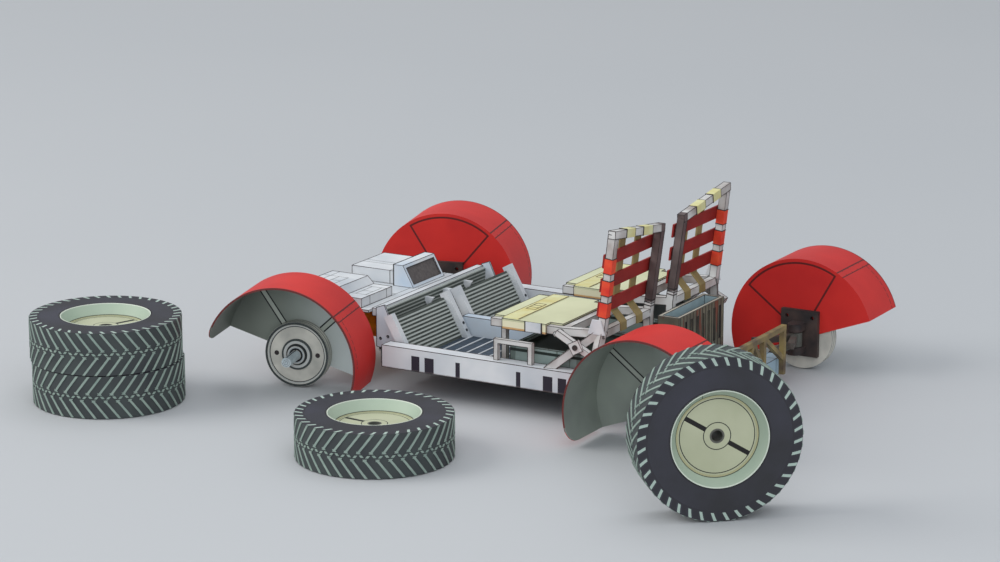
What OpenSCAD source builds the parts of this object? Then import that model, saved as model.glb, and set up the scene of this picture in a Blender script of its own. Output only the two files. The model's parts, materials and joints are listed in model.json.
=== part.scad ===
// Paper display model of a four-wheeled planetary rover, 1:16, wheels taken off
// and laid beside it. Millimetres. +X is forward, +Y is the rover's left side,
// +Z is up. The origin is on the floor, under the middle of the side beams.

/* [Overall] */
// Card thickness used for fenders, pans and webbing
card = 0.6; // [0.3:0.1:1.2]
// Distance from the origin forward to the front axle
axle_front_x = 74; // [66:1:82]
// Distance from the origin back to the rear axle
axle_rear_x = 69; // [64:1:80]
// Distance of each steering pin from the centreline
kingpin_y = 46; // [45:0.5:52]
// Angle the front wheel units are turned to the left
steer_turn = 14; // [-18:1:18]

/* [Side beams, spine and floor] */
// Half length of each side beam
beam_half = 41.5; // [36:0.5:43]
// Distance from the centreline to a side beam's outer face
beam_y = 48.9; // [44:0.1:50]
// Width of a side beam
beam_w = 5.5; // [3:0.5:7]
// Height of a side beam's lower face
beam_z = 9.7; // [6:0.1:12]
// Depth of the side beams and the spine
beam_h = 7.6; // [5:0.2:9]
// How far each side beam's rear end is cut back at its outer edge
end_mitre = 3.2; // [2.8:0.1:5]
// Width of the centre spine
spine_w = 4; // [3:0.5:8]
// Thickness of the slatted floor panel
floor_t = 1.2; // [0.8:0.1:3]

/* [Foot rests and bulkhead] */
// How far forward the top edge of a foot rest stands
foot_top_x = 43; // [40:0.5:46]
// How far forward the bottom edge of a foot rest stands
foot_low_x = 35.5; // [30:0.5:38]
// Height of a foot rest's top edge
foot_top_z = 24; // [20:0.5:28]
// Thickness of a foot rest plate
foot_t = 1; // [0.6:0.1:1.6]
// Distance of the ribbed bulkhead forward of the origin
bulkhead_x = 49.6; // [46.5:0.2:51]
// Thickness of the bulkhead panel
bulkhead_t = 1; // [0.6:0.1:2]
// Half width of the bulkhead and the crossbeam
bulkhead_half = 36; // [30:0.5:38]
// Height of the crossbeam's top face
crossbeam_z = 25.8; // [23:0.2:29]
// Section of the crossbeam
crossbeam_s = 2.6; // [2:0.1:4]

/* [Front chassis] */
// Length of the foil-wrapped front body
body_l = 31; // [24:1:40]
// Half width of the foil-wrapped front body
body_half = 27; // [20:1:32]
// Height of the foil-wrapped front body's lower face
body_z = 13; // [8:0.5:18]
// Thickness of the front platform
platform_t = 0.8; // [0.6:0.1:2]
// Right edge of the front platform, from the centreline
platform_right = 21; // [18:1:28]
// Left edge of the front platform, from the centreline
platform_left = 38.5; // [36:0.5:40]
// Height of the high front box
high_box_h = 5.7; // [4:0.1:9]
// Height of the low front box
low_box_h = 3.2; // [2:0.1:5]
// Height of the equipment box
equip_h = 4.8; // [3:0.1:9]
// Height of the display console
console_h = 7.7; // [5:0.1:12]

/* [Seats] */
// Height of the seat pan's top face
seat_z = 31.2; // [28:0.2:36]
// Length of a seat pan, front to back
seat_l = 25.5; // [20:0.5:28]
// Width of a seat, across its posts
seat_w = 36; // [30:0.5:38]
// Distance of a seat's inner side from the centreline
seat_y = 7.2; // [4:0.2:10]
// Section of the seat tubes
tube = 2.6; // [1.6:0.1:3.2]
// Height of the outer end of a seat back's top bar
back_outer_z = 65.5; // [56:0.5:74]
// Height of the inner end of a seat back's top bar
back_inner_z = 61; // [52:0.5:70]
// How far the seat back leans back at the top
back_lean = 4; // [0:0.5:10]
// Width of the horizontal webbing bands
band_w = 4.6; // [3:0.2:6]
// Width of the upright webbing straps
strap_w = 4; // [2:0.2:5]
// Height of the box under each seat
seat_box_h = 11.6; // [8:0.2:14]

/* [Rear] */
// Height of the open bin's top edge
bin_z = 28.5; // [24:0.5:32]
// Distance from the origin back to the open bin
bin_x = 41.7; // [41.7:0.1:44]
// Length of the open bin, front to back
bin_l = 8; // [7:0.5:12]
// Length of the rear chassis box
rear_l = 32; // [24:1:44]
// Half width of the rear chassis box
rear_half = 27; // [20:1:32]

/* [Wheel units] */
// Radius of a hub drum
drum_r = 11.4; // [9:0.2:14]
// Width of a hub drum
drum_w = 4.2; // [3:0.2:6]
// Radius of a stub axle
stub_r = 1.7; // [1.2:0.1:2.4]
// Length of a stub axle outside its drum
stub_l = 11; // [8:0.5:16]
// Radius of a steering pin
kingpin_r = 1.2; // [0.8:0.1:1.6]
// Radial clearance of every running fit
run_fit = 0.06; // [0.01:0.01:0.10]
// Outer radius of a fender
fender_r = 26.9; // [26.5:0.1:29]
// Width of a fender strip
fender_w = 23.3; // [18:0.1:26]
// Size of the rounded corner at each fender's front end
corner_r = 6; // [2:0.5:10]
// Height of a fender's arc centre
fender_z = 12.4; // [12:0.1:14]
// Angle of the front fenders' front end
front_fender_start = 14; // [0:1:30]
// Angle of the left front fender's rear end
left_fender_end = 202; // [180:1:204]
// Angle of the right front fender's rear end
right_fender_end = 190; // [180:1:204]
// Angle of the rear fenders' front end
rear_fender_start = -24; // [-25:1:0]
// Angle of the rear fenders' rear end
rear_fender_end = 163; // [150:1:180]

/* [Wheels] */
// Radius of a wheel over its tyre
wheel_r = 25.5; // [22:0.1:26]
// Width of a wheel
wheel_w = 14.5; // [11:0.1:18]
// Radius of the tyre's inner edge
rim_r = 15.5; // [12:0.1:19]
// Radius of the wheel's flat disc
disc_r = 12.2; // [9:0.1:14]
// Depth from the wheel's outer face down to the disc
dish = 3.6; // [2:0.1:5]
// Thickness of the wheel's disc
disc_t = 1.6; // [1:0.1:3]
// Outer radius of the rolled tube behind the disc
hub_tube_r = 3; // [2.6:0.1:5]
// Length of the rolled tube behind the disc
hub_tube_l = 8; // [4:0.5:8]
// Gap between the two stacked wheels
stack_gap = 0.3; // [0.2:0.1:1]

/* [Hidden] */
$fn = 96;
eps = 0.01;
seat_gap = 0.25;                  // glue line between rim and tyre
floor_z = beam_z + 0.8;           // top face of the slatted floor
beam_top = beam_z + beam_h;
beam_in = beam_y - beam_w;        // inner face of a side beam
plat_z = crossbeam_z - 0.3;       // top face of the front platform
wall_off = 5.2;                   // from the steering pin out to the fender wall
stub_bore = stub_r + run_fit;     // hole in each wheel's disc
eye_z = [9.4, 14.4];              // span of the arm's eye on the steering pin
back_x = -39.3;                   // centre of the seat back's tubes at its foot
foot_deg = atan2(foot_top_x - foot_low_x, foot_top_z - floor_z);

// ---- small helpers ----
// square tube from a to b
module bar(a, b, w) {
  d = b - a;
  l = norm(d);
  translate(a) rotate([0, acos(d[2] / l), atan2(d[1], d[0])])
    translate([-w / 2, -w / 2, 0]) cube([w, w, l]);
}
// block between two corners
module block(lo, hi) { translate(lo) cube(hi - lo); }
// the same thing on the rover's left (side = 1) or right (side = -1)
module sided(side) {
  if (side > 0) children(); else mirror([0, 1, 0]) children();
}

// ---- chassis ----
// its rear end is mitred, so that the rear fender can swing past
module side_beam(side) color([0.82, 0.83, 0.84]) sided(side)
  translate([0, 0, beam_z]) linear_extrude(beam_h)
    polygon([[-beam_half, beam_in], [beam_half, beam_in], [beam_half, beam_y],
      [-beam_half + end_mitre, beam_y]]);

module centre_spine() color([0.78, 0.82, 0.86])
  block([-beam_half, -spine_w / 2, beam_z], [foot_low_x + 1.5, spine_w / 2, beam_top]);

module floor_panel() color([0.25, 0.30, 0.38])
  for (side = [1, -1]) sided(side)
    block([-beam_half, spine_w / 2, floor_z - floor_t], [beam_half, beam_in, floor_z]);

// crossbeam along the top of the bulkhead, with a half-round cap along its rear
module front_crossbeam() color([0.84, 0.84, 0.84])
  block([bulkhead_x + bulkhead_t, -bulkhead_half, crossbeam_z - crossbeam_s],
        [bulkhead_x + bulkhead_t + crossbeam_s, bulkhead_half, crossbeam_z]);

module front_bulkhead() color([0.36, 0.38, 0.37])
  block([bulkhead_x, -bulkhead_half, floor_z + 0.5],
        [bulkhead_x + bulkhead_t, bulkhead_half, crossbeam_z - 0.6]);

// white cheek plates tying the bulkhead to the ends of the side beams
module bulkhead_brackets() color([0.85, 0.85, 0.86])
  for (side = [1, -1]) sided(side) difference() {
    union() {
      translate([0, bulkhead_half + card, 0]) rotate([90, 0, 0]) linear_extrude(card)
        polygon([[beam_half + card, beam_z + 1.2], [bulkhead_x + 1.6, beam_z + 3],
          [bulkhead_x + 1.6, crossbeam_z + 0.6], [bulkhead_x - 1.6, crossbeam_z + 1.8],
          [foot_top_x + 2, foot_top_z - 3], [beam_half + card, beam_top - 1]]);
      block([beam_half, bulkhead_half, beam_z + 1.2],
            [beam_half + card, beam_y - 0.6, beam_top - 1]);
    }
    for (p = [[bulkhead_x - 3, 16.6], [bulkhead_x, 15.6], [bulkhead_x - 5, 12.6]])
      translate([p[0], bulkhead_half - 1, p[1]]) rotate([-90, 0, 0]) cylinder(r = 0.45, h = 4, $fn = 24);
  }

module front_body() color([0.86, 0.52, 0.10])
  block([bulkhead_x + bulkhead_t, -body_half, body_z],
        [bulkhead_x + bulkhead_t + body_l, body_half, crossbeam_z - crossbeam_s]);

module front_platform() color([0.86, 0.86, 0.86])
  block([bulkhead_x + bulkhead_t + crossbeam_s, -platform_right, plat_z - platform_t],
        [bulkhead_x + bulkhead_t + body_l + 3, platform_left, plat_z]);

module high_front_box() color([0.86, 0.86, 0.84])
  translate([0, 38, 0]) rotate([90, 0, 0]) linear_extrude(22)
    polygon([[64.8, plat_z], [82, plat_z], [82, plat_z + high_box_h],
      [67.4, plat_z + high_box_h], [64.8, plat_z + low_box_h]]);

module low_front_box() color([0.82, 0.80, 0.79])
  block([57.2, 16.5, plat_z], [64.8, 36.5, plat_z + low_box_h]);

module equipment_box() color([0.85, 0.85, 0.83])
  block([64.6, -19.5, plat_z], [82.4, 2.4, plat_z + equip_h]);

// console with a display face that leans back towards the seats
module display_console() color([0.80, 0.82, 0.84]) difference() {
  translate([0, 4.3, 0]) rotate([90, 0, 0]) linear_extrude(21.3)
    polygon([[55.7, plat_z], [64, plat_z], [64, plat_z + console_h], [60, plat_z + console_h]]);
  // shallow panel sunk into the display face
  translate([55.7, 4.3 - 1.2 - 18.9, plat_z]) rotate([0, atan2(4.3, console_h), 0])
    translate([-0.5, 0, 1.2]) cube([0.9, 18.9, norm([4.3, console_h]) - 2.4]);
}

// ribbed plate with a cheek along each side
module foot_rest(side) color([0.42, 0.45, 0.42]) sided(side) {
  len = norm([foot_top_x - foot_low_x, foot_top_z - floor_z]);
  y0 = spine_w / 2 + 3; y1 = beam_in - 3.6;
  intersection() {
    translate([foot_low_x, 0, floor_z]) rotate([0, foot_deg, 0]) union() {
      translate([0, y0, -2]) cube([foot_t, y1 - y0, len + 2]);
      for (k = [0:10]) translate([-0.35, y0, 0.9 + k * (len - 2.4) / 10])
        cube([0.5, y1 - y0, 0.6]);
      for (y = [y0 - 2.4, y1]) translate([-2.2, y, -2]) cube([3.2, 2.4, len + 3.6]);
    }
    block([0, 0, floor_z], [80, 60, 40]);
  }
}

// ---- seats ----
module seat_box(side) color([0.62, 0.72, 0.72]) sided(side) difference() {
  block([-37, seat_y + tube + 0.6, floor_z], [-5, beam_in - 0.9, floor_z + seat_box_h]);
  block([-35.6, seat_y + tube + 2, floor_z + seat_box_h - 1.4],
        [-6.4, beam_in - 2.3, floor_z + seat_box_h + 1]);
}

// pan frame, back posts, top bar, foot bar and splayed legs in one welded tube frame
module seat_frame(side) color([0.80, 0.80, 0.80]) sided(side) {
  h = tube / 2;
  zt = seat_z - card - h;
  yo = seat_y + seat_w - h; yi = seat_y + h;
  xr = back_x + 15 - h;
  // ring under the pan
  bar([2 - h, yi - h, zt], [2 - h, yo + h, zt], tube);
  bar([xr, yi - h, zt], [xr, yo + h, zt], tube);
  for (y = [yi, yo]) bar([xr, y, zt], [2 - h, y, zt], tube);
  // back
  for (q = [[yo, back_outer_z], [yi, back_inner_z]])
    bar([back_x, q[0], seat_z - 1], [back_x - back_lean, q[0], q[1] - h], tube);
  bar([back_x - back_lean, yi - h, back_inner_z - h],
      [back_x - back_lean, yo + h, back_outer_z - h], tube);
  bar([back_x, yi - h, seat_z - 1], [back_x, yo + h, seat_z - 1], tube);
  // arms from the ring back to the posts
  for (y = [yi, yo]) bar([xr, y, zt], [back_x, y, seat_z - 1], tube);
  // splayed legs down to the side beam, one to the floor, one under the pan's front
  yb = beam_y - beam_w / 2;
  difference() {
    union() {
      bar([back_x, yo, seat_z], [back_x + 1.6, yb, beam_top - 1], tube);
      bar([back_x, yo, seat_z], [-21, yb, beam_top - 1], tube);
      bar([back_x, yi, seat_z], [back_x, yi, floor_z - 1], tube);
    }
    block([-60, beam_in - 1, 0], [0, beam_y + 5, beam_top]);
    block([-60, 0, 0], [0, beam_in - 1, floor_z]);
  }
  block([-0.2, yo - 7, floor_z], [1.6, yo - 5.2, seat_z - tube / 2 - card]);
}

// sheet wrapped over the frame, notched at its corners
module seat_pan(side) color([0.84, 0.86, 0.70]) sided(side) difference() {
  union() {
    block([2 - seat_l - 0.5, seat_y, seat_z - card], [2, seat_y + seat_w, seat_z]);
    block([2 - seat_l + 3.6, seat_y + seat_w, seat_z - tube - card - 0.3],
          [-2.6, seat_y + seat_w + card, seat_z]);
    block([2 - seat_l + 3.6, seat_y - card, seat_z - tube - card - 0.3],
          [-2.6, seat_y, seat_z]);
  }
  for (x = [2 - seat_l - 1, -2.6]) for (y = [seat_y - 1, seat_y + seat_w - 2.6])
    block([x, y, seat_z - 5], [x + 5.2, y + 3.6, seat_z + 1]);
}

// three bands across and two straps up, wrapped round the bars
module seat_webbing(side) color([0.60, 0.16, 0.15]) sided(side) {
  yo = seat_y + seat_w; yi = seat_y;
  lean = atan2(back_lean, back_outer_z - seat_z);
  dz = (back_outer_z - back_inner_z) * 0.75;
  translate([back_x + tube / 2 + 0.2, 0, seat_z]) rotate([0, -lean, 0]) {
    for (k = [0:2]) translate([0, 0, 5.2 + k * 8.2]) rotate([90, 0, 0])
      translate([0, 0, -yo]) linear_extrude(yo - yi) square([card, band_w]);
    for (y = [yi + 9, yi + 20.5]) translate([card, y, 4.4])
      cube([card, strap_w, back_inner_z - seat_z - 5.4 + (y - yi) / seat_w * dz]);
  }
  // lower ends of the straps, passing over and behind the foot bar
  bar_top = seat_z - 1 + tube / 2;
  bar_rear = back_x - tube / 2 - 0.05;
  for (y = [yi + 9, yi + 20.5]) translate([0, y + strap_w, 0]) rotate([90, 0, 0])
    linear_extrude(strap_w) polygon([[back_x + 2.25, seat_z + 5], [bar_rear - 0.45, bar_top + 0.25],
      [bar_rear - 0.45, bar_top - tube], [bar_rear, bar_top - tube],
      [bar_rear, bar_top + 0.1], [back_x + 2.25, seat_z + 4.3]]);
}

// folding stay from a pin at the pan's rear corner down past the rear leg
module seat_stay(side) color([0.74, 0.75, 0.76]) sided(side) {
  y = beam_y - 1.7;
  bolt = [-33, 0, seat_z - 5];
  difference() {
    union() {
      bar([-25.4, y, seat_z - 1], [-41.4, y, seat_z - 9.4], 2.1);
      translate([bolt[0], y + 1.1, bolt[2]]) rotate([0, 28, 0]) cube([4, 1.2, 4], center = true);
      translate([-24.8, seat_y + seat_w + 0.01, seat_z - tube / 2 - card]) rotate([-90, 0, 0])
        cylinder(r = 0.9, h = y - seat_y - seat_w, $fn = 32);
    }
    translate([bolt[0], y - 3, bolt[2]]) rotate([-90, 0, 0]) cylinder(r = 0.6, h = 8, $fn = 24);
  }
}

// small upright hoops on the side beams
module grab_frames() color([0.72, 0.72, 0.72]) for (side = [1, -1]) sided(side) {
  y = beam_y - 3;
  for (x = [-1.8, -14.8]) block([x - 0.8, y - 0.8, beam_top], [x + 0.8, y + 0.8, beam_top + 6.9]);
  block([-15.6, y - 0.8, beam_top + 5.9], [-1, y + 0.8, beam_top + 7.4]);
}

// ---- rear ----
// open bin behind the seats
module rear_bin() color([0.55, 0.62, 0.60]) {
  rear = -bin_x - bin_l;
  wall = 1.2;
  difference() {
    block([rear, -28.5, floor_z + 0.8], [-bin_x, 6, bin_z]);
    block([rear + wall, -28.5 + wall, floor_z + 2.2], [-bin_x - wall, 6 - wall, bin_z + 1]);
    // ribbed rear face
    for (k = [0:6]) block([rear - 1, -26.4 + k * 4.4, floor_z + 4], [rear + 0.4, -24.9 + k * 4.4, bin_z - 2.4]);
  }
}

module rear_body() color([0.66, 0.76, 0.80])
  block([-beam_half - rear_l, -rear_half, beam_z - 4.4], [-beam_half, rear_half, beam_z + 1.6]);

// light struts behind the rear box
module rear_truss() color([0.55, 0.50, 0.44]) {
  x = -beam_half - rear_l;
  for (y = [-24, -8, 8, 24]) bar([x - 0.9, y, beam_z - 4.4], [x - 0.9, y, beam_z + 12], 1.8);
  bar([x - 0.9, -25, beam_z + 12], [x - 0.9, 25, beam_z + 12], 1.8);
  for (s = [1, -1]) {
    bar([x - 0.9, s * 24, beam_z + 1], [x - 0.9, s * 8, beam_z + 12], 1.6);
    bar([x - 0.9, s * 8, beam_z + 1], [x - 0.9, 0, beam_z + 12], 1.6);
  }
}

// ---- wheel units ----
// pair of arms out to an eye that holds the steering pin
module arm_pair(x, y_in, side) sided(side) difference() {
  union() {
    bar([x + 7, y_in, 14.6], [x, kingpin_y, 12.6], 2.2);
    bar([x - 7, y_in, 14.6], [x, kingpin_y, 12.6], 2.2);
    bar([x, y_in, 10.8], [x, kingpin_y, 10.8], 2.2);
    translate([x, kingpin_y, eye_z[0]]) cylinder(r = kingpin_r + 1.4, h = eye_z[1] - eye_z[0]);
  }
  translate([x, kingpin_y, -1]) cylinder(r = kingpin_r + run_fit, h = 40);
  block([x - 20, y_in - 4, 0], [x + 20, y_in, 30]);
}
module front_arms() color([0.50, 0.40, 0.34])
  for (side = [1, -1]) arm_pair(axle_front_x, body_half, side);
module rear_arms() color([0.50, 0.40, 0.34])
  for (side = [1, -1]) difference() {
    arm_pair(-axle_rear_x, rear_half, side);
    // flat where the arms meet the rear box
    sided(side) block([-90, rear_half - 6, 0], [-40, rear_half, 30]);
  }

// everything on a wheel unit is drawn about its steering pin at the origin
module at_unit(x, side, turn) translate([x, side * kingpin_y, 0]) rotate([0, 0, turn])
  sided(side) children();

// forked block with the steering pin through it
module knuckle() color([0.34, 0.28, 0.26]) {
  translate([0, 0, eye_z[0] - 3]) cylinder(r = kingpin_r, h = eye_z[1] - eye_z[0] + 6);
  for (z = [eye_z[0] - 3, eye_z[1] + 0.3]) {
    translate([0, 0, z]) cylinder(r = 2.6, h = 2.7);
    block([-2.6, 0, z], [2.6, wall_off - 1.6, z + 2.7]);
  }
  difference() {
    block([-7, wall_off - 1.8, 5], [7, wall_off, 21.4]);
    for (x = [-4.8, 4.8]) translate([x, 0, 19]) rotate([-90, 0, 0]) cylinder(r = 0.7, h = 9, $fn = 24);
  }
}

// arched strip with a flat wall on its inner side, cut off below the straight
// line that joins the angles a0 and a1, both measured from +X towards +Z
module fender(a0, a1) color([0.80, 0.20, 0.18]) translate([0, wall_off, fender_z]) difference() {
  rotate([-90, 0, 0]) cylinder(r = fender_r, h = fender_w);
  translate([0, card, 0]) rotate([-90, 0, 0]) cylinder(r = fender_r - card, h = fender_w);
  translate([fender_r * cos(a0), -1, fender_r * sin(a0)])
    rotate([0, 180 - atan2(sin(a0) - sin(a1), cos(a0) - cos(a1)), 0])
      translate([-40, 0, 0]) cube([140, fender_w + 2, 60]);
  // facets that round the strip's free corner at a0
  rotate([0, -a0, 0]) translate([fender_r / 2, fender_w, 0]) rotate([90, 0, 90])
    linear_extrude(fender_r) polygon(concat([[1, -3], [1, corner_r + 2], [0.3, corner_r + 2]],
      [for (t = [15:15:75]) [-corner_r * (1 - cos(t)), corner_r * (1 - sin(t))]],
      [[-corner_r - 2, -0.3], [-corner_r - 2, -3]]));
}

module hub() color([0.66, 0.64, 0.60]) translate([0, wall_off + card, drum_r]) difference() {
  rotate([-90, 0, 0]) union() {
    cylinder(r = drum_r, h = drum_w);
    cylinder(r = 3.4, h = drum_w + 0.8);
    cylinder(r = stub_r, h = drum_w + stub_l);
  }
  rotate([-90, 0, 0]) translate([0, 0, drum_w - 0.5]) difference() {
    cylinder(r = drum_r - 1.3, h = 1);
    translate([0, 0, -1]) cylinder(r = 5.4, h = 3);
  }
}

// ---- wheels, each drawn lying flat with its outer face up ----
module tyre() color([0.26, 0.25, 0.27]) difference() {
  cylinder(r = wheel_r, h = wheel_w, $fn = 128);
  translate([0, 0, -1]) cylinder(r = rim_r, h = wheel_w + 2, $fn = 128);
}
// dished rim: a cone down to the disc, open at the back round a tube for the stub axle
module rim() color([0.76, 0.80, 0.70]) difference() {
  disc_back = wheel_w - dish - disc_t - 0.3;
  union() {
    difference() {
      cylinder(r = rim_r - seat_gap, h = wheel_w, $fn = 128);
      translate([0, 0, -1]) cylinder(r = rim_r - 1.2, h = disc_back + 1, $fn = 128);
    }
    translate([0, 0, disc_back - hub_tube_l]) cylinder(r = hub_tube_r, h = hub_tube_l + eps);
  }
  translate([0, 0, wheel_w - dish]) cylinder(r1 = disc_r + 0.6, r2 = rim_r - 0.5, h = dish + eps, $fn = 128);
  translate([0, 0, wheel_w - dish - 0.3]) cylinder(r = disc_r, h = 1, $fn = 128);
  translate([0, 0, -1]) cylinder(r = stub_bore, h = wheel_w + 2);
}
// the four places the wheels lie or stand
module at_flat() translate([6.3, 110.6, 0]) children();
module at_lower() translate([axle_front_x + 45.4, 98.8, 0]) children();
module at_upper() translate([axle_front_x + 45.9, 99.1, wheel_w + stack_gap]) children();
module at_upright() translate([-118.7, 116.8, wheel_r]) rotate([0, 0, 130.3])
  translate([-wheel_w, 0, 0]) rotate([0, 90, 0]) children();

side_beam(1);  // side_beam_left
side_beam(-1);  // side_beam_right
centre_spine();
floor_panel();
front_crossbeam();
front_bulkhead();
bulkhead_brackets();
front_body();
front_platform();
high_front_box();
low_front_box();
equipment_box();
display_console();
foot_rest(1);  // foot_rest_left
foot_rest(-1);  // foot_rest_right
seat_box(1);  // seat_box_left
seat_box(-1);  // seat_box_right
seat_frame(1);  // seat_frame_left
seat_frame(-1);  // seat_frame_right
seat_pan(1);  // seat_pan_left
seat_pan(-1);  // seat_pan_right
seat_webbing(1);  // seat_webbing_left
seat_webbing(-1);  // seat_webbing_right
seat_stay(1);  // seat_stay_left
seat_stay(-1);  // seat_stay_right
grab_frames();
rear_bin();
rear_body();
rear_truss();
front_arms();
rear_arms();
at_unit(axle_front_x, 1, steer_turn) knuckle();  // knuckle_front_left
at_unit(axle_front_x, -1, steer_turn) knuckle();  // knuckle_front_right
at_unit(-axle_rear_x, 1, 0) knuckle();  // knuckle_rear_left
at_unit(-axle_rear_x, -1, 0) knuckle();  // knuckle_rear_right
at_unit(axle_front_x, 1, steer_turn) fender(front_fender_start, left_fender_end);  // fender_front_left
at_unit(axle_front_x, -1, steer_turn) fender(front_fender_start, right_fender_end);  // fender_front_right
at_unit(-axle_rear_x, 1, 0) fender(rear_fender_start, rear_fender_end);  // fender_rear_left
at_unit(-axle_rear_x, -1, 0) fender(rear_fender_start, rear_fender_end);  // fender_rear_right
at_unit(axle_front_x, 1, steer_turn) hub();  // hub_front_left
at_unit(axle_front_x, -1, steer_turn) hub();  // hub_front_right
at_unit(-axle_rear_x, 1, 0) hub();  // hub_rear_left
at_unit(-axle_rear_x, -1, 0) hub();  // hub_rear_right
at_flat() tyre();  // tyre_flat
at_flat() rim();  // rim_flat
at_lower() tyre();  // tyre_lower
at_lower() rim();  // rim_lower
at_upper() tyre();  // tyre_upper
at_upper() rim();  // rim_upper
at_upright() tyre();  // tyre_upright
at_upright() rim();  // rim_upright
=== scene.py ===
# Looks of a small card model of a planetary rover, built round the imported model.
# Sizes in the dictionaries are millimetres in the model's own frame: +X forward, +Y left, +Z up.
import bpy
import json
import math
from mathutils import Matrix, Vector

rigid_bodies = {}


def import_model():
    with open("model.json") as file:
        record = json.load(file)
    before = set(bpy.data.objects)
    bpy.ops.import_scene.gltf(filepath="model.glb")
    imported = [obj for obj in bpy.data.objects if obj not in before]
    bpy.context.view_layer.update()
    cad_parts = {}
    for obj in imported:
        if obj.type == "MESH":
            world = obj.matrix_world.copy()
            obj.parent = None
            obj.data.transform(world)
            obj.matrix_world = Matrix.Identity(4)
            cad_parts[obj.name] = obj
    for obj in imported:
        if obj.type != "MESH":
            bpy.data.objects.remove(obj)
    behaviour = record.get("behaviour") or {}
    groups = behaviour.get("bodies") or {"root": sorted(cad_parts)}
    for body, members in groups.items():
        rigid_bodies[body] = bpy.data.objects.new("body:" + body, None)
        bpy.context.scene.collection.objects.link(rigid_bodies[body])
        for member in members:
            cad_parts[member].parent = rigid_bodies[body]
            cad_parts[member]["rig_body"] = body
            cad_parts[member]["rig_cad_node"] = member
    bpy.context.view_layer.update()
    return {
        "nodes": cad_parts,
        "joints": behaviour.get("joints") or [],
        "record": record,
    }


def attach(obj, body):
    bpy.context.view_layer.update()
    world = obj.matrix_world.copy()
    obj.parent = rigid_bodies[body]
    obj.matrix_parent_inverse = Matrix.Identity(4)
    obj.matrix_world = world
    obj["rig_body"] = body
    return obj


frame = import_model()
nodes = frame["nodes"]
joints = {joint["name"]: joint for joint in frame["joints"]}
mounts = {mount["name"]: mount for mount in frame["record"]["mounts"]}
mm = 0.001


def tone(red, green, blue):
    # a colour as a painter reads it, 0 to 255, turned into the light values shaders want
    return tuple(((c / 255 + 0.055) / 1.055) ** 2.4 for c in (red, green, blue)) + (1.0,)


inks = {
    "line": tone(34, 35, 38),
    "white": tone(214, 216, 218),
    "whiteShade": tone(184, 190, 196),
    "paleBlue": tone(186, 200, 214),
    "red": tone(206, 44, 38),
    "redDeep": tone(182, 32, 32),
    "inside": tone(161, 169, 159),
    "insideDark": tone(110, 117, 113),
    "cream": tone(214, 216, 172),
    "strapTan": tone(206, 196, 132),
    "webbingRed": tone(152, 38, 34),
    "webbingTan": tone(146, 128, 82),
    "wrapOrange": tone(228, 84, 52),
    "brown": tone(76, 62, 58),
    "slate": tone(62, 76, 92),
    "olive": tone(84, 90, 84),
    "rib": tone(172, 178, 173),
    "foil": tone(226, 140, 22),
    "foilDark": tone(168, 78, 14),
    "teal": tone(140, 156, 152),
    "tealDark": tone(34, 44, 40),
    "tyre": tone(50, 50, 54),
    "tyreDark": tone(50, 49, 55),
    "treadBar": tone(146, 162, 152),
    "rimMint": tone(172, 186, 168),
    "disc": tone(186, 188, 160),
    "drum": tone(220, 216, 205),
}


# ---- shader maths ----
class Wire:
    # one socket of a material, so that shader maths reads as plain maths
    def __init__(self, sheet, socket):
        self.sheet = sheet
        self.socket = socket

    def __add__(self, other):
        return self.sheet.maths("ADD", self, other)

    def __sub__(self, other):
        return self.sheet.maths("SUBTRACT", self, other)

    def __rsub__(self, other):
        return self.sheet.maths("SUBTRACT", other, self)

    def __mul__(self, other):
        return self.sheet.maths("MULTIPLY", self, other)

    def __truediv__(self, other):
        return self.sheet.maths("DIVIDE", self, other)

    def __gt__(self, other):
        return self.sheet.maths("GREATER_THAN", self, other)

    def __lt__(self, other):
        return self.sheet.maths("LESS_THAN", self, other)

    def __or__(self, other):
        return self.sheet.maths("MAXIMUM", self, other)

    def __abs__(self):
        return self.sheet.maths("ABSOLUTE", self)

    __radd__ = __add__
    __rmul__ = __mul__


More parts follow.
